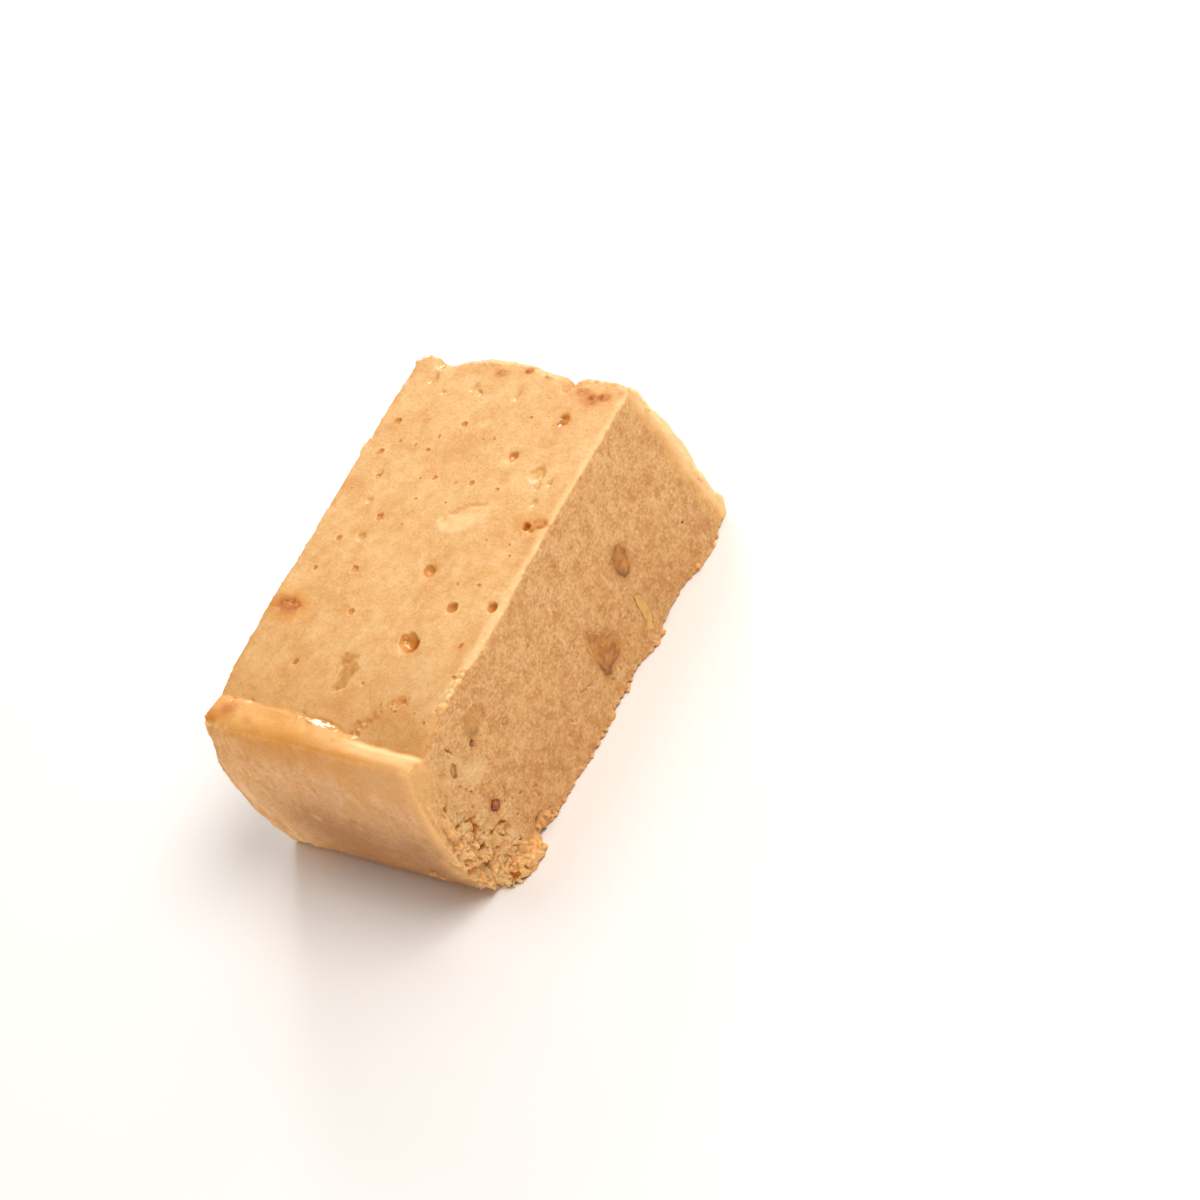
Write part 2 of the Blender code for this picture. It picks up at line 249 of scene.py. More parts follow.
# Clumps of crumbs at the broken corner (along, up, radius), those that stick out of the right side's foot
# (across, along, radius), and one low on the front wall (across, along, up, radius).
CORNER_CRUMBS = (
    (-0.7, 11.8, 0.75), (-1.0, 10.6, 0.95), (-1.3, 9.4, 0.80), (-0.2, 7.4, 0.60), (-1.1, 7.5, 0.70),
    (-0.7, 6.0, 0.70), (-0.7, 4.6, 0.65), (-0.6, 3.2, 0.60), (0.4, 5.3, 0.45), (1.6, 7.2, 0.40),
    (2.3, 5.6, 0.40), (-1.2, 1.9, 0.60), (0.3, 2.4, 0.55), (1.2, 1.4, 0.70), (2.6, 1.2, 0.70),
    (-0.4, 13.6, 0.40), (-1.0, 8.4, 0.55), (4.3, 1.8, 0.50),
)
FOOT_CRUMBS = (
    (32.7, 4.9, 0.80), (32.8, 4.1, 0.70), (32.6, 3.1, 0.75), (32.7, 2.1, 0.70), (32.3, 1.2, 0.70),
    (31.6, 0.4, 0.60), (32.2, 5.6, 0.60), (31.9, 4.4, 0.95), (31.7, 2.8, 0.95),
    (31.4, 1.6, 0.90), (31.0, 0.6, 0.70), (32.5, 2.6, 0.80), (32.6, 3.6, 0.80),
    (31.2, 7.5, 0.75), (31.3, 8.3, 0.80), (31.7, 8.7, 0.50), (31.8, 9.6, 0.55), (31.5, 13.9, 0.50),
    (31.9, 15.7, 0.62), (31.9, 18.6, 0.45), (32.1, 20.6, 0.50), (31.8, 22.3, 0.55),
    (32.0, 26.0, 0.45), (32.3, 33.6, 0.50), (32.2, 42.5, 0.50),
)
WALL_CRUMB = (24.4, -1.95, 3.6, 0.75)

# What the block's material is told about each point of the surface, as a number from 0 to 1.
LAYERS = ("skin", "wall", "lip", "rim", "hollow", "stain_and_shade", "bare", "pale", "crumb", "foot", "wet")

# The lights: the direction each comes from, its distance and size in metres, its watts and its colour.
LIGHTS = {
    "overhead softbox at the right": ((0.47, 0.28, 0.85), 0.55, 0.28, 2.15, "ffffff"),
    "overhead softbox at the left": ((-0.4, 0.0, 0.9), 0.6, 0.3, 0.8, "ffffff"),
    "wide softbox behind": ((0.0, 0.85, 0.5), 0.6, 0.8, 2.8, "ffffff"),
    "low front fill": ((0.25, -0.9, 0.16), 0.6, 0.2, 1.3, "ffe8d2"),
    "low kicker": ((-0.6, 0.7, 0.4), 0.5, 0.11, 0.7, "ffffff"),
}
LIGHTS_AIM_AT = (0.0, 0.0, 0.01)

# The camera: the place on the block's base that it looks at, how far off it is, and its angles in degrees.
CAMERA_TARGET = (20.65, 36.5, -1.0)
CAMERA_DISTANCE = 559.2
CAMERA_AZIMUTH, CAMERA_ELEVATION, CAMERA_ROLL = 61.8, 43.28, -39.7


# ---------------------------------------------------------------- small tools

def deselect_all():
    """Leaves edit mode and clears the selection."""
    if bpy.context.object and bpy.context.object.mode != "OBJECT":
        bpy.ops.object.mode_set(mode="OBJECT")
    bpy.ops.object.select_all(action="DESELECT")


def make_active(obj):
    """Selects one object alone, for the operators to act on."""
    deselect_all()
    obj.select_set(True)
    bpy.context.view_layer.objects.active = obj


def new_object(name, data):
    """Puts new data into the scene as an object."""
    obj = bpy.data.objects.new(name, data)
    bpy.context.scene.collection.objects.link(obj)
    return obj


def join(pieces, name):
    """Joins pieces into one object, which keeps the first one's mesh name."""
    make_active(pieces[0])
    for piece in pieces:
        piece.select_set(True)
    bpy.ops.object.join()
    pieces[0].name = name
    return pieces[0]


def apply_modifier(obj, name, kind, **settings):
    """Adds a modifier, sets it and applies it."""
    make_active(obj)
    modifier = obj.modifiers.new(name, kind)
    for key, value in settings.items():
        setattr(modifier, key, value)
    bpy.ops.object.modifier_apply(modifier=modifier.name)


def smooth(obj, rounds, **settings):
    """Smooths a mesh, the more rounds the softer."""
    apply_modifier(obj, "smooth", "SMOOTH", factor=0.5, iterations=rounds, **settings)


def make_even(obj, size):
    """Gives an object one closed surface of even squares, of a size in millimetres."""
    apply_modifier(obj, "even squares", "REMESH", mode="VOXEL", voxel_size=size * MM)


def points_of(obj):
    """A mesh's points in millimetres on the block, and their normals."""
    mesh = obj.data
    co = np.empty(len(mesh.vertices) * 3, np.float32)
    mesh.vertices.foreach_get("co", co)
    normals = np.empty(len(mesh.vertices) * 3, np.float32)
    mesh.vertex_normals.foreach_get("vector", normals)
    return (co.reshape(-1, 3) - np.array(CORNER)) / MM, normals.reshape(-1, 3).astype(float)


def move_points(obj, points):
    """Puts a mesh's points at places in millimetres on the block."""
    co = (points * MM + np.array(CORNER)).astype(np.float32)
    obj.data.vertices.foreach_set("co", co.ravel())
    obj.data.update()


def set_layer(obj, name, values):
    """Stores one number for each point, which the material reads by name."""
    layer = obj.data.attributes.new(name, "FLOAT", "POINT")
    layer.data.foreach_set("value", np.clip(values, 0, 1).astype(np.float32))


def read_layer(obj, name):
    """The numbers that set_layer stored."""
    values = np.empty(len(obj.data.vertices), np.float32)
    obj.data.attributes[name].data.foreach_get("value", values)
    return values


def on_block(place):
    """A place in millimetres on the block, in metres in the shared frame."""
    return CORNER + Vector(place) * MM


def surface_from(obj, start, direction):
    """Where a line from outside meets an object, in millimetres on the block, and the normal there."""
    hit, place, normal, _ = obj.ray_cast(on_block(start), Vector(direction))
    return ((place - CORNER) / MM, normal) if hit else (None, None)


# ---------------------------------------------------------------- shapes by number

def step(low, high, value):
    """A smooth rise from 0 at low to 1 at high, or a fall where high is the lower of the two."""
    t = np.clip((value - low) / (high - low), 0.0, 1.0)
    return t * t * (3.0 - 2.0 * t)


def scramble(a, b, c):
    """A random-looking whole number for each cell of a grid."""
    key = (a * CELL_PRIMES[0]) ^ (b * CELL_PRIMES[1]) ^ (c * CELL_PRIMES[2])
    return (key ^ (key >> 13)) * SCRAMBLER


def lumps(points, size, seed=0):
    """Smooth unevenness from about -1 to 1 at each point, with lumps of a size in millimetres."""
    place = points / size + seed * 7.31
    cell = np.floor(place)
    part = place - cell
    x, y, z = (part * part * (3 - 2 * part)).T
    a, b, c = cell.astype(np.int64).T
    total = np.zeros(len(points))
    for i, j, k in itertools.product((0, 1), repeat=3):
        value = (scramble(a + i, b + j, c + k) >> 8) & 0xFFFF
        total += value * (x if i else 1 - x) * (y if j else 1 - y) * (z if k else 1 - z)
    return total / (0xFFFF / 2) - 1


def cell_gap(points, size, seed=0):
    """How far each point is from a joint between grains of a size: 0 in the joint, about 1 in a grain."""
    place = points / size + seed * 3.17
    cell = np.floor(place).astype(np.int64)
    nearest = np.full(len(points), 9.0)
    second = nearest.copy()
    for corner in itertools.product((-1, 0, 1), repeat=3):
        at = cell + corner
        key = scramble(*at.T)
        jitter = np.stack([((key >> shift) & 0xFF) / 255 for shift in (8, 16, 24)], axis=1)
        distance = np.linalg.norm(at + jitter - place, axis=1)
        second = np.minimum(second, np.maximum(nearest, distance))
        nearest = np.minimum(nearest, distance)
    return np.clip((second - nearest) * 1.6, 0, 1)


def path_distance(spots, path):
    """Each flat spot's distance from a path of straight stretches."""
    nearest = np.full(len(spots), 1e3)
    for start, end in itertools.pairwise(np.array(path, float)):
        along = end - start
        t = np.clip((spots - start) @ along / (along @ along), 0, 1)
        nearest = np.minimum(nearest, np.linalg.norm(spots - start - t[:, None] * along, axis=1))
    return nearest


def inside_depth(spots, outline):
    """How far inside an outline each flat spot lies: below 0 outside it."""
    corners = np.array(outline, float)
    inside = np.zeros(len(spots), bool)
    for (ax, ay), (bx, by) in zip(corners, np.roll(corners, -1, axis=0)):
        crosses = (ay > spots[:, 1]) != (by > spots[:, 1])
        inside ^= crosses & (spots[:, 0] < ax + (spots[:, 1] - ay) * (bx - ax) / (by - ay + 1e-12))
    distance = path_distance(spots, list(outline) + [outline[0]])
    return np.where(inside, distance, -distance)


def gap_from(spots, x, y, half_width=1.0, half_length=1.0):
    """How far flat spots lie from a place, or from the middle of an oval, whose rim is at 1."""
    return np.hypot((spots[:, 0] - x) / half_width, (spots[:, 1] - y) / half_length)


def bowl_shape(away, flatness):
    """A bowl's depth: 1 in its middle and 0 from its rim on. It is flatter inside where flatness is low."""
    return np.clip(1 - away**2, 0, 1) ** flatness


def crease_line(x):
    """Where the crease behind the lip runs, along the block, at a place across it."""
    return CREASE[0] + (CREASE[1] - CREASE[0]) * step(*CREASE_TURN, x)


# ---------------------------------------------------------------- materials

def linear(hexcode):
    """An sRGB hex colour as linear RGBA."""
    parts = [int(hexcode[n:n + 2], 16) / 255 for n in (0, 2, 4)]
    return (*(c / 12.92 if c <= 0.04045 else ((c + 0.055) / 1.055) ** 2.4 for c in parts), 1.0)


def per_mm(size):
    """A pattern's scale, from the size of its features in millimetres."""
    return 1 / (size * MM)


def add_node(tree, kind, inputs=None, **settings):
    """Adds a node with its settings, and its inputs as values or as the sockets that feed them."""
    node = tree.nodes.new(kind)
    for key, value in settings.items():
        setattr(node, key, value)
    for key, value in (inputs or {}).items():
        if isinstance(value, bpy.types.NodeSocket):
            tree.links.new(value, node.inputs[key])
        else:
            node.inputs[key].default_value = value
    return node


def new_material(name):
    """A new material, with its node tree and its shader."""
    material = bpy.data.materials.new(name)
    material.use_nodes = True
    tree = material.node_tree
    return material, tree, tree.nodes["Principled BSDF"]


def glow_inside(shader, weight, depth_mm):
    """Lets light travel a little way under the surface, red furthest."""
    shader.inputs["Subsurface Weight"].default_value = weight
    shader.inputs["Subsurface Radius"].default_value = (1.0, 0.62, 0.38)
    shader.inputs["Subsurface Scale"].default_value = depth_mm * MM


def nut_paste():
    """Nut and sugar paste, cooked and set in a tray. The open top is a satin toffee skin, the side that lay
    against the tray is duller and pinker, and the knife's cuts are matt and sandy."""
    material, tree, shader = new_material("cooked_nut_paste")
    place = add_node(tree, "ShaderNodeTexCoord").outputs["Object"]
    layer = {
        name: add_node(tree, "ShaderNodeAttribute", attribute_name=name).outputs["Fac"] for name in LAYERS
    }

    # Uneven cooking, blotches of nut meal, and single grains of about a third of a millimetre.
    noises = {}
    for name, size, detail in (
        ("cooking", 5.0, 2.0), ("meal", 1.3, 2.0), ("grain", 0.38, 3.0), ("dust", 0.2, 1.0),
    ):
        noises[name] = add_node(
            tree, "ShaderNodeTexNoise", {"Vector": place, "Scale": per_mm(size), "Detail": detail},
        ).outputs["Fac"]
    blend = {}
    for name, parts in (
        ("skin", (("cooking", 0.30), ("meal", 0.36), ("grain", 0.34))),
        ("cut", (("cooking", 0.14), ("meal", 0.36), ("grain", 0.50))),
        ("wall", (("cooking", 0.25), ("meal", 0.35), ("grain", 0.40))),
    ):
        total = 0.0
        for part, share in parts:
            total = add_node(
                tree, "ShaderNodeMath", {0: noises[part], 1: share, 2: total}, operation="MULTIPLY_ADD",
            ).outputs[0]
        blend[name] = add_node(
            tree, "ShaderNodeMapRange", {"Value": total, "From Min": 0.39, "From Max": 0.61},
        ).outputs[0]
    colours = {}
    # The wall's colours are lighter than the skin's: partly its own paler, pinker tone and partly painted
    # light.
    for name, dark, light in (
        ("skin", "da9f58", "ebbd7f"), ("cut", "cc8f4e", "eabb7e"), ("wall", "e9aa60", "fed29a"),
    ):
        colours[name] = add_node(
            tree, "ShaderNodeMix", {0: blend[name], 6: linear(dark), 7: linear(light)}, data_type="RGBA",
        ).outputs[2]
    base = colours["cut"]
    for name in ("skin", "wall"):
        base = add_node(
            tree, "ShaderNodeMix", {0: layer[name], 6: base, 7: colours[name]}, data_type="RGBA",
        ).outputs[2]

    # Local colour: the browner foot, the lip's orange, crumbs, bare and pale places, and toffee stains.
    # Painted
    # with them: shade in the foot, the hollows, creases and cracks, and a glow of light through the lip and
    # the raw edges. How much of the foot's brown is in the paste, and how much is shade, is a guess.
    for name, colour, strength in (
        ("foot", "824612", 0.95), ("lip", "e49f44", 0.80), ("rim", "f5b868", 0.70),
        ("crumb", "f8d49b", 0.65), ("hollow", "de9535", 0.85), ("bare", "bf802b", 0.95),
        ("pale", "fcdaa0", 0.80), ("stain_and_shade", "b9641a", 1.00),
    ):
        amount = add_node(
            tree, "ShaderNodeMath", {0: layer[name], 1: strength}, operation="MULTIPLY",
        ).outputs[0]
        base = add_node(
            tree, "ShaderNodeMix", {0: amount, 6: base, 7: linear(colour)}, data_type="RGBA",
        ).outputs[2]

    # Specks of brown nut skin and of white sugar, a few tenths of a millimetre wide. The cuts show them best.
    closed = add_node(
        tree, "ShaderNodeMath", {0: layer["skin"], 1: layer["wall"]}, operation="MAXIMUM",
    ).outputs[0]
    seen = add_node(tree, "ShaderNodeMapRange", {"Value": closed, "To Min": 1.0, "To Max": 0.35}).outputs[0]
    for colour, size, strength in (("96532a", 1.1, 0.24), ("fbe3b4", 0.8, 0.32), ("a8642c", 2.3, 0.28)):
        cells = add_node(
            tree, "ShaderNodeTexVoronoi", {"Vector": place, "Scale": per_mm(size), "Randomness": 1.0},
        )
        near = add_node(
            tree, "ShaderNodeMapRange",
            {"Value": cells.outputs["Distance"], "From Min": 0.30, "From Max": 0.12},
        ).outputs[0]
        picked = add_node(
            tree, "ShaderNodeMapRange", {"Value": cells.outputs["Color"], "From Min": 0.55, "From Max": 0.75},
        ).outputs[0]
        speck = near
        for share in (picked, seen, strength):
            speck = add_node(tree, "ShaderNodeMath", {0: speck, 1: share}, operation="MULTIPLY").outputs[0]
        base = add_node(
            tree, "ShaderNodeMix", {0: speck, 6: base, 7: linear(colour)}, data_type="RGBA",
        ).outputs[2]
    tree.links.new(base, shader.inputs["Base Color"])

    # Sandy cuts are nearly matt, the skin is satin, and the lip and the wet dents shine.
    rough = 0.80
    for name, value in (("wall", 0.62), ("skin", 0.46), ("lip", 0.50), ("stain_and_shade", 0.55), ("wet", 0.12)):
        rough = add_node(tree, "ShaderNodeMix", {0: layer[name], 2: rough, 3: value}).outputs[0]
    uneven = add_node(
        tree, "ShaderNodeMapRange", {"Value": noises["meal"], "To Min": -0.10, "To Max": 0.10},
    ).outputs[0]
    rough = add_node(
        tree, "ShaderNodeMath", {0: rough, 1: uneven}, operation="ADD", use_clamp=True,
    ).outputs[0]
    tree.links.new(rough, shader.inputs["Roughness"])

    # The grains stand out of the cuts, only just show in the skin, and are drowned where it is wet.
    sandy = add_node(
        tree, "ShaderNodeMapRange", {"Value": layer["skin"], "To Min": 1.0, "To Max": 0.30},
    ).outputs[0]
    dry = add_node(tree, "ShaderNodeMath", {0: 1.0, 1: layer["wet"]}, operation="SUBTRACT").outputs[0]
    height = add_node(
        tree, "ShaderNodeMath", {0: noises["grain"], 1: noises["dust"]}, operation="ADD",
    ).outputs[0]
    for share in (sandy, dry):
        height = add_node(tree, "ShaderNodeMath", {0: height, 1: share}, operation="MULTIPLY").outputs[0]
    bump = add_node(
        tree, "ShaderNodeBump", {"Strength": 0.9, "Distance": 0.14 * MM, "Height": height},
    ).outputs[0]
    tree.links.new(bump, shader.inputs["Normal"])
    glow_inside(shader, 0.60, 1.0)
    return material


def chopped_nut():
    """Chopped roasted nut, cut through: its tone runs from toasted brown to a waxy yellow, mottled, with a
    satin face where the knife passed, painted shade along its lower side, and paste smeared over its border."""
    material, tree, shader = new_material("chopped_roasted_nut")
    place = add_node(tree, "ShaderNodeTexCoord").outputs["Object"]
    tone, edge, smeared = (
        add_node(tree, "ShaderNodeAttribute", attribute_name=name).outputs["Fac"]
        for name in ("tone", "edge", "smeared")
    )
    mottle = add_node(
        tree, "ShaderNodeTexNoise", {"Vector": place, "Scale": per_mm(1.0), "Detail": 3.0, "Distortion": 0.6},
    ).outputs["Fac"]
    grain = add_node(
        tree, "ShaderNodeTexNoise", {"Vector": place, "Scale": per_mm(0.25), "Detail": 2.0},
    ).outputs["Fac"]
    blend = add_node(
        tree, "ShaderNodeMapRange", {"Value": mottle, "From Min": 0.35, "From Max": 0.65},
    ).outputs[0]
    brown = add_node(
        tree, "ShaderNodeMix", {0: blend, 6: linear("94501a"), 7: linear("c98338")}, data_type="RGBA",
    ).outputs[2]
    yellow = add_node(
        tree, "ShaderNodeMix", {0: blend, 6: linear("c99140"), 7: linear("e3b05c")}, data_type="RGBA",
    ).outputs[2]
    base = add_node(tree, "ShaderNodeMix", {0: tone, 6: brown, 7: yellow}, data_type="RGBA").outputs[2]
    # Painted shade: the brown pieces are darker along their lower side.
    skin = add_node(tree, "ShaderNodeMath", {0: edge, 1: 0.8}, operation="MULTIPLY").outputs[0]
    base = add_node(
        tree, "ShaderNodeMix", {0: skin, 6: base, 7: linear("7c4114")}, data_type="RGBA",
    ).outputs[2]
    base = add_node(
        tree, "ShaderNodeMix", {0: smeared, 6: base, 7: linear("e3ad6c")}, data_type="RGBA",
    ).outputs[2]
    tree.links.new(base, shader.inputs["Base Color"])
    rough = add_node(tree, "ShaderNodeMapRange", {"Value": mottle, "To Min": 0.58, "To Max": 0.75}).outputs[0]
    tree.links.new(rough, shader.inputs["Roughness"])
    bump = add_node(
        tree, "ShaderNodeBump", {"Strength": 0.5, "Distance": 0.06 * MM, "Height": grain},
    ).outputs[0]
    tree.links.new(bump, shader.inputs["Normal"])
    glow_inside(shader, 0.4, 0.8)
    return material


def dark_caramel():
    """Sugar boiled to dark caramel: glassy and red-brown."""
    material, tree, shader = new_material("dark_caramel")
    place = add_node(tree, "ShaderNodeTexCoord").outputs["Object"]
    swirl = add_node(
        tree, "ShaderNodeTexNoise", {"Vector": place, "Scale": per_mm(0.7), "Detail": 2.0},
    ).outputs["Fac"]
    blend = add_node(
        tree, "ShaderNodeMapRange", {"Value": swirl, "From Min": 0.38, "From Max": 0.62},
    ).outputs[0]
    base = add_node(
        tree, "ShaderNodeMix", {0: blend, 6: linear("8a4214"), 7: linear("b8682c")}, data_type="RGBA",
    ).outputs[2]
    tree.links.new(base, shader.inputs["Base Color"])
    rough = add_node(tree, "ShaderNodeMapRange", {"Value": swirl, "To Min": 0.25, "To Max": 0.5}).outputs[0]
    tree.links.new(rough, shader.inputs["Roughness"])
    glow_inside(shader, 0.3, 0.6)
    return material


# ---------------------------------------------------------------- crumbs

def add_crumb(crumbs, middle, radius, rng):
    """Adds one irregular crumb, at a place in millimetres on the block."""
    turn = Euler([rng.uniform(0, math.tau) for _ in range(3)]).to_matrix().to_4x4()
    squash = Matrix.Diagonal((rng.uniform(0.9, 1.35), rng.uniform(0.75, 1.1), rng.uniform(0.6, 0.95), 1.0))
    place = Matrix.Translation(middle) @ turn @ squash
    ball = bmesh.ops.create_icosphere(crumbs, subdivisions=2, radius=radius, matrix=place)
    for vert in ball["verts"]:
        broken = noise.noise(vert.co / (radius * 0.8)) + 0.6 * noise.noise(vert.co / (radius * 0.35))
        vert.co += (vert.co - middle) * 0.5 * broken


def add_clump(crumbs, middle, radius, rng):
    """Adds a clump of crumbs that stick together."""
    for _ in range(CLUMP_CRUMBS):
        nudge = Vector([rng.uniform(-0.75, 0.75) for _ in range(3)]) * radius
        place = middle + nudge
        place.z = max(place.z, radius * 0.4)
        add_crumb(crumbs, place, radius * rng.uniform(0.35, 0.62), rng)


def crumbs_along_edge(crumbs, block, start, end, inward, count, radii, proud, rng):
    """Crumbs that cling to an edge. They are found by looking at the edge from outside, along inward."""
    aim = Vector(inward).normalized()
    for _ in range(count):
        spot = Vector(start).lerp(Vector(end), rng.random())
        hit, _ = surface_from(block, spot - aim * OUTSIDE, aim)
        if hit is None:
            continue
        radius = rng.uniform(*radii) * rng.uniform(0.6, 1.0)
        place = hit + aim * radius * (1 - proud)
        place.z = max(place.z, radius * 0.7)
        add_crumb(crumbs, place, radius, rng)


def crumbled_corner(crumbs, block, rng):
    """Crumbs that still hold to the broken corner, bigger and closer together towards the foot."""
    for _ in range(CORNER_TRIES):
        y, z = rng.uniform(-2.8, 8.0), rng.uniform(0.2, 15.0)
        loose = math.exp(-(((y + 0.2) / 3.0) ** 2) - ((z - 4.0) / 6.0) ** 2)
        if rng.random() > 0.8 * loose + 0.06:
            continue
        hit, normal = surface_from(block, (OUTSIDE, y, z), (-1, 0, 0))
        if hit is None:
            continue
        radius = rng.uniform(0.15, 0.30) + 0.35 * loose * rng.random() ** 2
        place = hit - normal * radius * rng.uniform(0.2, 0.8)
        place.z = max(place.z, radius * 0.8)
        add_crumb(crumbs, place, radius, rng)
    for y, z, radius in CORNER_CRUMBS:
        hit, _ = surface_from(block, (OUTSIDE, y, z), (-1, 0, 0))
        if hit is not None:
            add_clump(crumbs, hit - Vector((0.35 * radius, 0, 0)), radius, rng)
    for x, y, radius in FOOT_CRUMBS:
        add_clump(crumbs, Vector((x, y, radius * 0.8)), radius, rng)
        add_clump(crumbs, Vector((x - radius, y + rng.uniform(-0.4, 0.4), radius)), radius, rng)
    add_clump(crumbs, Vector(WALL_CRUMB[:3]), WALL_CRUMB[3], rng)


def ragged_crumbs(block):
    """The crumbs that are part of the block: round its cut edges, along its foot and at the broken corner."""
    rng = random.Random(14)
    crumbs = bmesh.new()
    crumbled_corner(crumbs, block, rng)
    right, far, top = WIDTH, LENGTH, HEIGHT

    # Each edge: where it starts and ends, the way in, how many crumbs, their radii, how far they stand out.
    for start, end, inward, count, radii, proud in (
        ((right, 0.0, 0.5), (right, far, 0.5), (-1, 0, 0.1), 130, (0.16, 0.50), 0.75),
        ((0, 0.0, 0.5), (0, far, 0.5), (1, 0, 0.1), 100, (0.16, 0.46), 0.75),
        ((0, far, 0.5), (right, far, 0.5), (0, -1, 0.1), 70, (0.16, 0.46), 0.75),
        ((right, far, 0.5), (right, far, top), (-1, -1, 0), 70, (0.20, 0.48), 0.95),
        ((0, far, 0.5), (0, far, top), (1, -1, 0), 60, (0.16, 0.40), 1.0),
        ((right, 1.0, top), (right, far, top), (-1, 0, -1), 60, (0.10, 0.22), 0.6),
        ((0, 0.0, top), (0, far, top), (1, 0, -1), 28, (0.10, 0.24), 0.7),
        ((0, far, top), (right, far, top), (0, -1, -1), 34, (0.12, 0.34), 0.7),
        ((right, -1.5, 1.0), (right, 0.0, 15.0), (-1, 1, 0), 110, (0.14, 0.40), 0.8),
        ((0, -1.5, 1.0), (0, 0.0, 16.0), (1, 1, 0), 36, (0.12, 0.30), 0.6),
        ((0, 36.2, top), (0, 38.4, top), (1, 0, -0.6), 12, (0.2, 0.36), 1.0),
        ((21.8, far, top), (24.5, far, top), (0, -1, -1), 14, (0.18, 0.34), 0.5),
        ((right, 7.6, top), (right, 13.0, top), (-1, 0, -1), 40, (0.26, 0.52), 0.95),
        ((right, -2.0, 3.0), (right, -0.6, 15.0), (-1, 1, 0), 70, (0.24, 0.50), 1.0),
        ((right, -1.9, 3.0), (right, -2.6, 9.0), (-1, 1, 0), 45, (0.20, 0.44), 0.8),
        ((right, -2.6, 9.0), (right, -1.0, 17.0), (-1, 1, 0), 55, (0.18, 0.40), 0.8),
    ):
        crumbs_along_edge(crumbs, block, start, end, inward, count, radii, proud, rng)
    mesh = bpy.data.meshes.new("crumbs")
    bmesh.ops.scale(crumbs, verts=crumbs.verts, vec=(MM, MM, MM))
    bmesh.ops.translate(crumbs, verts=crumbs.verts, vec=CORNER)
    crumbs.to_mesh(mesh)
    crumbs.free()
    return new_object("crumbs", mesh)


# ---------------------------------------------------------------- the block

def refine(obj, chosen):
    """Subdivides the faces whose points are all chosen."""
    mesh = obj.data
    make_active(obj)
    bpy.ops.object.mode_set(mode="EDIT")
    bpy.ops.mesh.select_mode(type="VERT")
    bpy.ops.mesh.select_all(action="DESELECT")
    bpy.ops.object.mode_set(mode="OBJECT")
    mesh.vertices.foreach_set("select", chosen)
    bpy.ops.object.mode_set(mode="EDIT")
    bpy.ops.mesh.select_mode(type="FACE")
    bpy.ops.mesh.subdivide(number_cuts=1)
    bpy.ops.object.mode_set(mode="OBJECT")


def crumbled_weight(points):
    """1 in the middle of the broken corner, 0 away from it."""
    y, z = points[:, 1], points[:, 2]
    reach = np.sqrt(((y - 0.3) / 6.6) ** 2 + ((z - 5.0) / 10.5) ** 2) + 0.25 * lumps(points, 1.8, 5)
    return step(1.05, 0.40, reach) * step(25.5, 29.5, points[:, 0])


def most(layer, rows, values):
    """Raises a layer to the given values at some of its points."""
    layer[rows] = np.maximum(layer[rows], values)


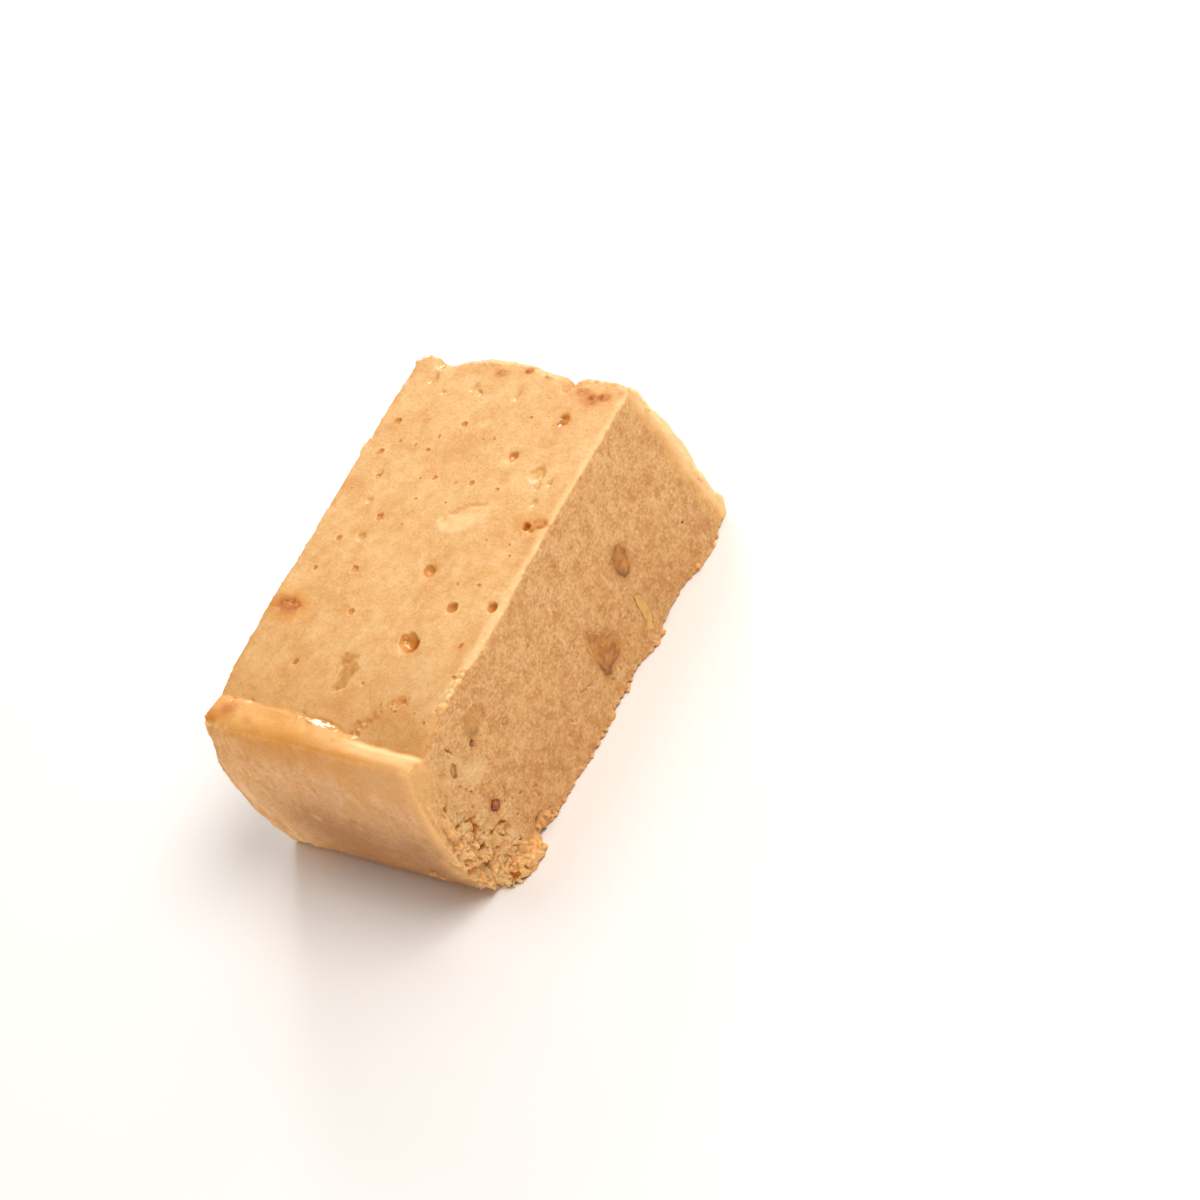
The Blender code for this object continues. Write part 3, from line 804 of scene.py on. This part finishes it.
def sculpt_top(points, facing, layers):
    """Presses the burst bubbles, dents and grooves into the skin, and marks their colours."""
    rows = np.flatnonzero((facing[:, 2] > 0.5) & (points[:, 2] > 18))
    near = points[rows].copy()
    top = step(0.5, 0.8, facing[rows, 2])
    spots = near[:, :2] + 0.10 * np.stack([lumps(near, 0.55, 1), lumps(near, 0.55, 2)], axis=1)
    spots += 0.20 * np.stack([lumps(near, 1.5, 4), lumps(near, 1.5, 6)], axis=1)
    fine, middling = lumps(near, 0.42, 7), lumps(near, 0.85, 3)
    down = np.zeros(len(rows))
    marks = {name: np.zeros(len(rows)) for name in ("hollow", "wet", "bare", "pale", "stain_and_shade", "foot")}

    def mark(name, values):
        marks[name] = np.maximum(marks[name], values)

    # Each hollow is painted darker and a deeper orange inside: painted shade, with a painted glow of light
    # through the paste.
    def hollow_out(x, y, width, depth, flatness, colour):
        radius = width / 2
        close = np.flatnonzero(np.abs(spots - (x, y)).max(axis=1) < radius * 1.5)
        away = gap_from(spots[close], x, y) / radius
        bowl = bowl_shape(away, flatness)
        down[close] += bowl * depth - 0.025 * np.exp(-(((away - 1.15) / 0.2) ** 2))
        down[close] += 0.05 * bowl * fine[close] * (width > 0.6)
        most(marks["hollow"], close, bowl * colour)
        return close, away

    for x, y, width, depth in BUBBLES:
        close, away = hollow_out(x, y, width, depth, 0.45, 1.0)
        most(marks["wet"], close, step(1.2, 0.8, away) * (depth < 0.6))
    for x, y, width in PITS:
        hollow_out(x, y, width, 0.08 + 0.62 * width / 2, 0.6, 0.85)
    rng = random.Random(5)
    for _ in range(PINPRICKS):
        width = 0.14 + 0.16 * rng.random() ** 2
        hollow_out(rng.uniform(0.8, 30.2), rng.uniform(4.0, 48.4), width, width * 0.35, 0.7, 0.5)
    # The dents, grooves and torn band are painted darker too: painted shade.
    for x, y, width, depth in DENTS:
        radius = width / 2
        away = gap_from(spots, x, y) / radius + 0.3 * middling
        bowl = bowl_shape(away, 1.3)
        down += bowl * depth * (1 + 0.7 * middling) + 0.09 * fine * step(1.2, 0.6, away)
        mark("wet", step(1.1, 0.5, away))
        mark("hollow", bowl * 0.3)
    for path, width, depth in TOP_GROOVES:
        away = path_distance(spots, path) / (width / 2)
        bowl = bowl_shape(away, 0.8)
        down += bowl * depth * (0.8 + 0.6 * fine)
        mark("hollow", bowl * 0.5)
    torn = step(1.2, 0.2, path_distance(spots, TORN_BAND) + 0.5 * middling)
    down += torn * (0.10 + 0.30 * fine + 0.16 * middling)
    mark("hollow", torn * (0.35 + 0.3 * fine))
    flaked = step(0.75, 0.25, path_distance(spots, FLAKED_EDGE) + 0.4 * middling)
    down -= flaked * (0.05 + 0.12 * fine)
    marks["pale"] = flaked * (0.6 + 0.4 * fine)
    # A painted glow along the top's right edge, as of light coming through it.
    edge = step(0.95, 0.35, WIDTH - near[:, 0] + 0.15 * middling) * step(7.5, 9.0, near[:, 1])
    mark("pale", edge * (0.50 + 0.25 * fine))
    bare = step(-0.20, 0.25, inside_depth(spots, BARE_PATCH) + 0.40 * middling + 0.20 * fine)
    marks["bare"] = bare * (0.78 + 0.30 * fine + 0.15 * middling)
    down += bare * (0.09 + 0.09 * fine)
    nut = step(-0.5, 0.5, inside_depth(spots, PALE_NUT) + 0.5 * middling)
    mark("pale", nut * (0.52 + 0.4 * fine))
    down -= nut * (0.07 + 0.03 * middling)
    for x, y, half_width, half_length, strength in STAINS:
        away = gap_from(spots, x, y, half_width, half_length) + 0.40 * middling + 0.25 * fine
        close = step(1.2, 0.5, away) * strength
        mark("stain_and_shade", close * (0.9 + 0.6 * fine + 0.3 * middling))
        mark("hollow", 0.8 * strength * step(1.8, 1.0, away))
        down += close * (0.08 + 0.12 * middling + 0.22 * step(0.0, 0.5, fine) * step(0.3, 0.8, close))
    for x, y, half_width, half_length, strength in LIP_LUMPS:
        away = gap_from(spots, x, y, half_width, half_length) + 0.45 * middling
        close = step(1.3, 0.3, away) * strength
        mark("hollow", close)
        mark("stain_and_shade", close * (0.50 + 0.5 * middling))
        down += close * (0.12 * middling - 0.05)

    # The crease behind the lip is crisp at the right and faint at the left, and glints here and there. The
    # skin is painted darker towards it and in it, more at the right: painted shade of the sag and the crease.
    past = near[:, 1] - crease_line(near[:, 0]) - 0.15 * lumps(near, 1.6, 13)
    crisp = 0.3 + 0.7 * step(*CREASE_TURN, near[:, 0])
    down += crisp * (0.16 * np.exp(-((past / 0.3) ** 2)) - 0.08 * np.exp(-(((past + 0.7) / 0.45) ** 2)))
    # Painted shade of the sag, in the hollow and foot colours, strongest near the crease.
    toffee = 0.22 * step(9.0, 0.0, past + 1.5 * lumps(near, 4.0, 15)) * step(-0.6, 0.0, past)
    mark("hollow", toffee + 0.30 * np.exp(-((past / 0.5) ** 2)))
    darker = 0.09 + 0.09 * step(18, 28, near[:, 0])
    marks["foot"] = darker * step(17.0, 4.0, past + 2.0 * lumps(near, 5.0, 17))
    # A painted highlight on the lip's back slope at the right, where it faces the light.
    slope = np.exp(-(((past + 0.55) / 0.45) ** 2)) * step(19.0, 23.0, near[:, 0])
    mark("pale", 0.9 * slope)
    for x, y, half in GLINTS:
        along, past = near[:, 0] - x, near[:, 1] - y
        shine = step(1.4, 0.8, np.hypot(along / half + 0.5 * fine, past / 0.45 + 0.5 * middling))
        mark("wet", shine)
        level = np.average(near[:, 2], weights=shine + 1e-9) + 0.012 * lumps(near, 0.4, 8)
        pooled = near[:, 2] - level - GLINT_SLOPE[0] * along - GLINT_SLOPE[1] * past
        down = down * (1 - shine) + shine * pooled
    points[rows, 2] -= down * top
    seen = step(0.3, 0.6, facing[rows, 2])
    for name, values in marks.items():
        most(layers[name], rows, values * seen)

    # The lip's skin is thin from the crease over to the wall's top. At the right it comes down the wall. Its
    # colour is partly its own orange and partly painted glow of light through it, paler at the right.
    front = np.flatnonzero((points[:, 1] < 5) & (points[:, 2] > 14))
    near = points[front]
    past = near[:, 1] - crease_line(near[:, 0]) - 0.3 * lumps(near, 1.6, 13)
    right = step(17.0, 30.0, near[:, 0])
    height = step(18.0 - 3.0 * right, 22.2 - 1.5 * right, near[:, 2] + 1.3 * lumps(near, 2.6, 14))
    lip = step(0.3, -0.4, past) * height
    layers["lip"][front] = lip * (0.85 + 0.25 * lumps(near, 1.1, 16))
    most(layers["pale"], front, 0.40 * lip * right)
    uneven = 0.22 * lumps(near, 3.0, 18) + 0.08 * lumps(near, 1.2, 19)
    dry = 1 - layers["wet"][front]
    points[front] += facing[front] * (lip * (1 - 0.5 * right) * uneven * dry)[:, None]


def sculpt_right(points, facing, layers):
    """Presses the cracks and holes into the right side, and the beds of the nut pieces."""
    rows = np.flatnonzero((facing[:, 0] > 0.5) & (points[:, 0] > 26))
    side = step(0.5, 0.8, facing[rows, 0])
    near = points[rows]
    exact = near[:, 1:]
    spots = exact + 0.22 * np.stack([lumps(near, 0.6, 21), lumps(near, 0.6, 22)], axis=1)
    inward = np.zeros(len(rows))
    # The cracks and holes are painted darker inside: painted shade.
    for path, width, depth in RIGHT_CRACKS:
        away = path_distance(spots, path) / (width / 2)
        bowl = bowl_shape(away, 0.6)
        inward += bowl * depth
        most(layers["hollow"], rows, bowl * side)
        most(layers["stain_and_shade"], rows, bowl * side * 0.5)
    for y, z, width in RIGHT_HOLES:
        away = gap_from(spots, y, z) / (width / 2)
        bowl = bowl_shape(away, 0.5)
        inward += bowl * width * 0.6
        most(layers["hollow"], rows, bowl * side)
    for y, z, half_length, half_height, strength in RIGHT_STAINS:
        away = gap_from(spots, y, z, half_length, half_height)
        close = step(1.4, 0.3, away + 0.4 * lumps(near, 0.8, 25))
        most(layers["stain_and_shade"], rows, close * strength * side)
        inward += 0.05 * close
    # Painted shade: the right side is darker towards its bottom.
    most(layers["foot"], rows, 0.10 * side * step(14.0, 3.0, near[:, 2] + 1.5 * lumps(near, 3.5, 27)))
    lump = step(-0.6, 0.6, inside_depth(spots, RIGHT_PALE) + 0.5 * lumps(near, 1.0, 26))
    most(layers["pale"], rows, 0.45 * lump * side)
    inward -= 0.05 * lump
    for outline, _ in RIGHT_NUTS:
        depth = inside_depth(exact, outline)
        inward += NUT_BED * step(-0.10, 0.55, depth + 0.15 * lumps(near, 0.5, 23))
        most(layers["bare"], rows, 0.6 * step(-0.7, 0.1, depth + 0.25 * lumps(near, 0.7, 24)) * side)
    for y, z, radius, _ in RIGHT_BITS:
        inward += BIT_BED * step(radius + 0.08, radius - 0.25, gap_from(exact, y, z))
    for y, z, radius in RIGHT_CARAMEL:
        inward += CARAMEL_BED * step(radius + 0.15, radius - 0.2, gap_from(exact, y, z))
    points[rows, 0] -= inward * side


def sculpt_cuts(points, facing, layers):
    """Scatters small holes over every cut face."""
    rng = random.Random(31)
    for axis, sign, flat, reach, count in (
        (0, 1.0, (1, 2), (0.5, 49.5), 120),
        (0, -1.0, (1, 2), (0.5, 49.5), 120),
        (1, 1.0, (0, 2), (0.5, 30.5), 80),
    ):
        rows = np.flatnonzero(facing[:, axis] * sign > 0.5)
        side = step(0.5, 0.8, facing[rows, axis] * sign)
        near = points[rows]
        spots = near[:, flat] + 0.08 * np.stack([lumps(near, 0.4, 32), lumps(near, 0.4, 33)], axis=1)
        inward = np.zeros(len(rows))
        dark = np.zeros(len(rows))
        for _ in range(count):
            a, z = rng.uniform(*reach), rng.uniform(0.8, 21.8)
            radius = 0.08 + 0.14 * rng.random() ** 2
            stretch = rng.uniform(0.7, 1.5)
            away = np.hypot((spots[:, 0] - a) * stretch, spots[:, 1] - z) / radius
            bowl = bowl_shape(away, 0.5)
            inward += bowl * radius * 1.1
            dark = np.maximum(dark, bowl)
        exact = near[:, flat]
        for face, corners, _ in HIDDEN_NUTS:
            if face == (axis, sign):
                depth = inside_depth(exact, corners) + 0.15 * lumps(near, 0.5, 23)
                inward += NUT_BED * step(-0.10, 0.55, depth)
        beds = [(face, *place[:3]) for face, *place in HIDDEN_BITS + HIDDEN_CARAMEL]
        for face, across, up, radius in beds:
            if face == (axis, sign):
                gap = gap_from(exact, across, up)
                inward += NUT_BED * step(radius + 0.12, radius - 0.2, gap)
                dark = np.maximum(dark, 0.6 * step(radius + 0.6, radius, gap))
        points[rows, axis] -= sign * inward * side
        # The small holes, and a ring round each far bit, are painted darker: painted shade.
        most(layers["hollow"], rows, dark * 0.7)


def sculpt_wall(points, facing, layers):
    """Fine wrinkles down the moulded wall, most at its left end, where the tray's liner creased it, small
    marks, and a browner foot, partly the paste's own brown and partly painted shade."""
    rows = np.flatnonzero(facing[:, 1] < -0.35)
    near = points[rows]
    wall = step(0.35, 0.7, -facing[rows, 1])
    wrinkles = lumps(near * (1.0, 1.0, 0.16), 0.42, 41) * step(9.0, 1.0, near[:, 0])
    soft = lumps(near * (0.6, 1.0, 1.0), 1.3, 42)
    fine = lumps(near, 0.5, 43)
    inward = 0.20 * wrinkles + 0.05 * soft + 0.03 * fine
    # The wrinkles' crests are painted paler and their grooves darker: painted light and shade.
    most(layers["pale"], rows, 0.80 * step(0.05, 0.6, -wrinkles) * wall)
    most(layers["hollow"], rows, 0.40 * step(0.1, 0.7, wrinkles) * wall)
    for x, z, half_width, half_height, strength in WALL_MARKS:
        away = gap_from(near[:, [0, 2]], x, z, half_width, half_height) + 0.4 * soft + 0.2 * fine
        close = step(1.2, 0.4, away) * abs(strength)
        most(layers["stain_and_shade" if strength > 0 else "pale"], rows, close * wall)
        inward += close * 0.06 * np.sign(strength)
    points[rows, 1] += wall * inward
    # The wall is darker towards its foot: partly the paste's own brown, partly painted shade.
    low = step(20.5, 6.5, near[:, 2] + 1.5 * lumps(near, 3.0, 44))
    layers["foot"][rows] = 0.7 * wall * low * (0.25 + 0.75 * step(2.0, 12.0, near[:, 0]))

    # Next to the broken corner the wall's skin is thin, so it is coloured as if light came through it.
    thin = step(28.6, 30.8, near[:, 0] + 0.4 * soft) * step(0.5, 4.0, near[:, 2])
    most(layers["rim"], rows, 0.8 * thin * wall)
    most(layers["pale"], rows, 0.5 * step(29.6, 31.0, near[:, 0] + 0.5 * fine) * wall)


def sculpt_end(points, facing, layers):
    """Gives the top of the cut end its uneven run, with a dip and a torn notch."""
    rows = np.flatnonzero(points[:, 1] > 42)
    near = points[rows]
    reach = step(43.0, 50.0, near[:, 1]) * step(4.0, 19.0, near[:, 2])
    out = np.zeros(len(rows))
    for x, height, half in END_EDGE:
        out += height * np.exp(-np.abs((near[:, 0] + 0.15 * lumps(near, 0.7, 45) - x) / half) ** 3)
    sharp = step(48.0, 50.0, near[:, 1])
    points[rows, 1] += out * reach * (0.3 + 0.7 * sharp)

    # The thin edge between the cut end and the right side is coloured as if light came through it too.
    thin = points[rows, 1] - out * reach + 0.4 * lumps(near, 1.2, 46)
    seen = step(0.3, 0.6, facing[rows, 0])
    most(layers["rim"], rows, step(47.6, 49.8, thin) * seen)
    most(layers["pale"], rows, step(48.8, 49.8, thin) * seen)


def sculpt_corner(points, facing, layers):
    """Breaks the crumbled corner into grains, with open joints between the bigger ones."""
    weight = crumbled_weight(points)
    rows = np.flatnonzero(weight > 0.01)
    near, amount = points[rows], weight[rows]
    inward = 0.22 * lumps(near, 2.3, 56) + 0.14 * lumps(near, 1.0, 54)
    joint = 1 - step(0.0, 0.35, cell_gap(near + 0.25 * lumps(near, 0.8, 58)[:, None], 1.4, 51))
    grain = 1 - step(0.0, 0.6, cell_gap(near, 0.55, 52))
    inward += joint * 0.20 * step(0.3, 0.9, amount) + grain * 0.12
    warp = 0.3 * np.stack([lumps(near, 0.5, seed) for seed in (71, 72, 73)], axis=1)
    holes = step(0.46, 0.76, lumps(near + warp, 0.8, 57)) * step(0.2, 0.6, amount)
    inward += holes * 0.45
    # The joints, grains and holes are painted darker: painted shade.
    most(layers["hollow"], rows, np.clip(0.4 * joint + 0.25 * grain + holes, 0, 1) * amount)
    most(layers["stain_and_shade"], rows, 0.4 * holes * amount)
    most(layers["foot"], rows, 0.35 * np.clip(joint + 0.5 * grain, 0, 1) * amount)
    points[rows] -= facing[rows] * (inward * amount)[:, None]
    layers["crumb"] = np.maximum(layers["crumb"], weight * (0.80 + 0.5 * lumps(points, 1.3, 59)))

    # The crumbs at its foot are small, so they get the painted glow of light coming through them.
    foot = step(2.2, 1.0, points[:, 2]) * step(0.4, 1.4, points[:, 1]) * step(6.6, 5.6, points[:, 1])
    layers["rim"] = np.maximum(layers["rim"], foot * step(29.0, 31.5, points[:, 0]))


def soft_block():
    """A copy of the CAD's block without its flat facets, and with its edges a little worn."""
    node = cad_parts["turron_block"]
    block = new_object("soft_block", node.data.copy())
    make_active(block)
    bpy.ops.object.mode_set(mode="EDIT")
    bpy.ops.mesh.select_all(action="SELECT")
    bpy.ops.mesh.remove_doubles(threshold=0.001 * MM)
    bpy.ops.object.mode_set(mode="OBJECT")
    block.data.materials.clear()
    make_even(block, OUTLINE_VOXEL)
    smooth(block, WORN_ROUNDS)

    # The lip is syrup that ran and set, so it is rounder than the knife's edges.
    points, _ = points_of(block)
    crisp = 0.9 * step(15, 23, points[:, 0]) - 0.7 * step(28.0, 30.5, points[:, 0])
    lip = step(4.5, 2.5, points[:, 1]) * step(16.5, 20.0, points[:, 2]) * (1 - crisp)
    group = block.vertex_groups.new(name="lip")
    for level in np.linspace(0.1, 1.0, 10):
        chosen = np.flatnonzero(np.abs(lip - level) <= 0.05)
        group.add(chosen.tolist(), float(level), "REPLACE")
    smooth(block, LIP_ROUNDS, vertex_group="lip")
    block.vertex_groups.clear()
    return block


def paste_block(outline):
    """The block as one closed mesh: its outline with the crumbs, made fine and then sculpted."""
    block = new_object("turron_paste", outline.data.copy())
    block = join([block, ragged_crumbs(outline)], "turron_paste")
    make_even(block, PASTE_VOXEL)
    smooth(block, 2)

    # A much softer copy of the surface tells which way each point faces, and where the edges are.
    sharp, _ = points_of(block)
    smooth(block, FACING_ROUNDS)
    soft, facing = points_of(block)
    convex = np.einsum("ij,ij->i", sharp - soft, facing)
    move_points(block, sharp)
    for number in range(3):
        set_layer(block, f"facing_{number}", facing[:, number] * 0.5 + 0.5)
    set_layer(block, "convex", convex)

    # The squares are halved round the pinholes. The stored numbers come through that, so they are read back.
    fine = np.zeros(len(sharp), bool)
    for x, y, width in PITS:
        fine |= (gap_from(sharp, x, y) < width / 2 + 0.3) & (sharp[:, 2] > 20)
    refine(block, fine)

    points, _ = points_of(block)
    facing = np.empty((len(points), 3))
    for number in range(3):
        facing[:, number] = read_layer(block, f"facing_{number}") * 2 - 1
    convex = read_layer(block, "convex")

    layers = {name: np.zeros(len(points)) for name in LAYERS}
    layers["skin"] = step(0.66, 0.76, facing[:, 2])
    layers["wall"] = step(0.60, 0.72, -facing[:, 1])
    # Painted glow on the convex edges, as of light coming through them, weaker on the sharpest bumps.
    layers["rim"] = step(0.03, 0.16, convex) * (1 - 0.7 * step(0.22, 0.40, convex))
    for sculpt in (sculpt_end, sculpt_top, sculpt_right, sculpt_cuts, sculpt_wall, sculpt_corner):
        sculpt(points, facing, layers)

    # Sandy relief on the cuts, and a faint one elsewhere.
    sandy = (1 - layers["skin"]) * (1 - 0.8 * layers["wall"]) * step(-0.9, -0.6, facing[:, 2])
    relief = 0.055 * lumps(points, 0.42, 61) + 0.040 * lumps(points, 0.9, 62) + 0.04 * lumps(points, 2.2, 63)
    points += facing * (relief * (0.25 + 0.75 * sandy) + 0.08 * layers["rim"])[:, None]
    points[:, 2] = np.maximum(points[:, 2], 0.0)
    move_points(block, points)
    for name, values in layers.items():
        set_layer(block, name, values)
    for name in ("facing_0", "facing_1", "facing_2", "convex"):
        block.data.attributes.remove(block.data.attributes[name])
    triangles = sum(len(polygon.vertices) - 2 for polygon in block.data.polygons)
    apply_modifier(block, "thin out", "DECIMATE", ratio=PASTE_TRIANGLES / triangles)
    block.data.shade_smooth()
    block.data.materials.append(nut_paste())
    return block


# ---------------------------------------------------------------- nut pieces and caramel

def beside(axis, across, up, out):
    """A place off a side, from how far across it, up it and out along its own axis."""
    return (out, across, up) if axis == 0 else (across, out, up)


def flush_piece(name, outline_block, corners, tone, side=RIGHT, proud=0.0, depth=0.9, rough=0.10):
    """A chopped piece, cut through level with a side. Its corners are across the side and up it."""
    axis, sign = side
    away = OUTSIDE + 30 * axis
    inward = beside(axis, 0, 0, -sign)

    def level(across, up):
        hit, _ = surface_from(outline_block, beside(axis, across, up, sign * away), inward)
        return None if hit is None else hit[axis]

    deselect_all()
    bpy.ops.mesh.primitive_circle_add(vertices=len(corners), fill_type="NGON", radius=MM)
    piece = bpy.context.object
    piece.name = name
    stick_out = 0.6
    for vert, (across, up) in zip(piece.data.vertices, corners):
        vert.co = on_block(beside(axis, across, up, level(across, up) + sign * stick_out))
    bpy.ops.object.mode_set(mode="EDIT")
    bpy.ops.mesh.select_all(action="SELECT")
    push = [part * (stick_out + depth) * MM for part in inward]
    bpy.ops.mesh.extrude_region_move(TRANSFORM_OT_translate={"value": push})
    bpy.ops.mesh.select_all(action="SELECT")
    bpy.ops.mesh.normals_make_consistent(inside=False)
    bpy.ops.object.mode_set(mode="OBJECT")
    piece.matrix_world = Matrix.Identity(4)
    make_even(piece, NUT_VOXEL)
    smooth(piece, 6)
    points, normals = points_of(piece)
    points += normals * (rough * lumps(points, 0.8, 71))[:, None]
    cut = np.zeros(len(points))
    flat = points[:, [1 - axis, 2]]
    for row, (across, up) in enumerate(flat):
        surface = level(across, up)
        if surface is not None and sign * points[row, axis] > sign * surface + proud:
            points[row, axis] = surface + sign * proud
            cut[row] = 1.0
    within = inside_depth(flat, corners) + 0.15 * lumps(points, 0.5, 72)
    points[:, axis] += sign * cut * (0.05 * lumps(points, 0.35, 73) + 0.01)
    move_points(piece, points)
    # The brown pieces get painted shade along their lower side.
    middle, reach = flat.mean(axis=0), np.ptp(flat, axis=0) / 2
    low = (middle - flat) / reach @ (0.6, 0.8)
    lower_side_shade = step(0.6, 0.2, within) * step(0.1, 0.8, low) + step(0.4, 0.9, low) * 0.4
    covered = 0.45 * tone * (1 + lumps(points, 0.7, 74))
    set_layer(piece, "tone", np.full(len(points), tone))
    set_layer(piece, "edge", lower_side_shade * (1 - tone))
    set_layer(piece, "smeared", np.maximum(step(0.20, -0.05, within) * 0.6, covered))
    return piece


def round_outline(y, z, radius, seed):
    """A rounded, uneven outline for a small bit."""
    rng = random.Random(seed)
    corners = []
    for number in range(9):
        turn = math.tau * number / 9
        across = radius * rng.uniform(0.8, 1.2) * math.cos(turn)
        up = radius * rng.uniform(0.8, 1.2) * math.sin(turn)
        corners.append((y + across, z + up))
    return corners


def nut_pieces(outline):
    """All the nut pieces and small bits, on the side that shows and on those turned away, as one mesh."""
    small = {"depth": 0.5, "rough": 0.04}
    pieces = []
    for number, (corners, tone) in enumerate(RIGHT_NUTS):
        pieces.append(flush_piece(f"nut_{number}", outline, corners, tone))
    for number, (along, up, radius, tone) in enumerate(RIGHT_BITS):
        corners = round_outline(along, up, radius, number)
        pieces.append(flush_piece(f"bit_{number}", outline, corners, tone, **small))
    for number, (side, corners, tone) in enumerate(HIDDEN_NUTS):
        pieces.append(flush_piece(f"far_nut_{number}", outline, corners, tone, side))
    for number, (side, across, up, radius, tone) in enumerate(HIDDEN_BITS):
        corners = round_outline(across, up, radius, number + 20)
        pieces.append(flush_piece(f"far_bit_{number}", outline, corners, tone, side, **small))
    nuts = join(pieces, "chopped_nuts")
    nuts.data.shade_smooth()
    nuts.data.materials.append(chopped_nut())
    return nuts


def caramel_bits(outline):
    """All the caramel bits as one mesh, each a little below the surface."""
    bits = [(RIGHT, *place) for place in RIGHT_CARAMEL] + list(HIDDEN_CARAMEL)
    pieces = []
    for number, (side, across, up, radius) in enumerate(bits):
        corners = round_outline(across, up, radius, number + 40)
        pieces.append(flush_piece(
            f"caramel_{number}", outline, corners, 0.0, side, proud=-0.06, depth=0.5, rough=0.05,
        ))
    caramel = join(pieces, "caramel_bits")
    caramel.data.shade_smooth()
    caramel.data.materials.append(dark_caramel())
    return caramel


# ---------------------------------------------------------------- stage

def add_floor():
    """White paper, just under the block."""
    bpy.ops.mesh.primitive_plane_add(size=3.0, location=(0, 0, cad_low[2] - 0.02 * MM))
    floor = bpy.context.object
    floor.name = "floor"
    material, _, shader = new_material("matt_white_paper")
    shader.inputs["Base Color"].default_value = linear("faf6f2")
    shader.inputs["Roughness"].default_value = 0.9
    floor.data.materials.append(material)


def add_light(name, direction, distance, size, watts, colour):
    """A square soft light, aimed at the block from a direction."""
    data = bpy.data.lights.new(name, "AREA")
    data.size = size
    data.energy = watts
    data.color = linear(colour)[:3]
    light = new_object(name, data)
    aim = Vector(direction).normalized()
    light.location = Vector(LIGHTS_AIM_AT) + aim * distance
    light.rotation_euler = aim.to_track_quat("Z", "Y").to_euler()


def add_camera():
    """The camera looks down on the block from the right of its lip, turned about its own axis."""
    data = bpy.data.cameras.new("camera")
    data.lens = 150.0
    data.sensor_width = 36.0
    camera = new_object("camera", data)
    azimuth, elevation, roll = (
        math.radians(angle) for angle in (CAMERA_AZIMUTH, CAMERA_ELEVATION, CAMERA_ROLL)
    )
    level_out = math.cos(elevation)
    back = Vector((math.sin(azimuth) * level_out, -math.cos(azimuth) * level_out, math.sin(elevation)))
    camera.location = on_block(CAMERA_TARGET) + back * (CAMERA_DISTANCE * MM)
    level = back.to_track_quat("Z", "Y").to_matrix()
    camera.rotation_euler = (level @ Matrix.Rotation(roll, 3, "Z")).to_euler()
    bpy.context.scene.camera = camera


def add_world():
    """A white ceiling over a warmer, dimmer room."""
    world = bpy.data.worlds.new("white studio")
    world.use_nodes = True
    tree = world.node_tree
    direction = add_node(tree, "ShaderNodeTexCoord").outputs["Generated"]
    up = add_node(tree, "ShaderNodeSeparateXYZ", {"Vector": direction}).outputs["Z"]
    height = add_node(
        tree, "ShaderNodeMapRange", {"Value": up, "From Min": 0.0, "From Max": 0.8},
    ).outputs[0]
    colour = add_node(
        tree, "ShaderNodeMix", {0: height, 6: linear("dfb593"), 7: linear("ffffff")}, data_type="RGBA",
    ).outputs[2]
    strength = add_node(
        tree, "ShaderNodeMapRange", {"Value": height, "To Min": WORLD_LOW, "To Max": WORLD_HIGH},
    ).outputs[0]
    background = tree.nodes["Background"]
    tree.links.new(colour, background.inputs["Color"])
    tree.links.new(strength, background.inputs["Strength"])
    bpy.context.scene.world = world


def main():
    outline = soft_block()
    block = paste_block(outline)
    nuts = nut_pieces(outline)
    caramel = caramel_bits(outline)
    bpy.data.objects.remove(outline)
    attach(block, "root")
    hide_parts("turron_block")
    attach(nuts, "root")
    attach(caramel, "root")
    add_floor()
    add_world()
    for name, light in LIGHTS.items():
        add_light(name, *light)
    add_camera()
    bpy.context.scene.view_settings.view_transform = "Standard"


main()
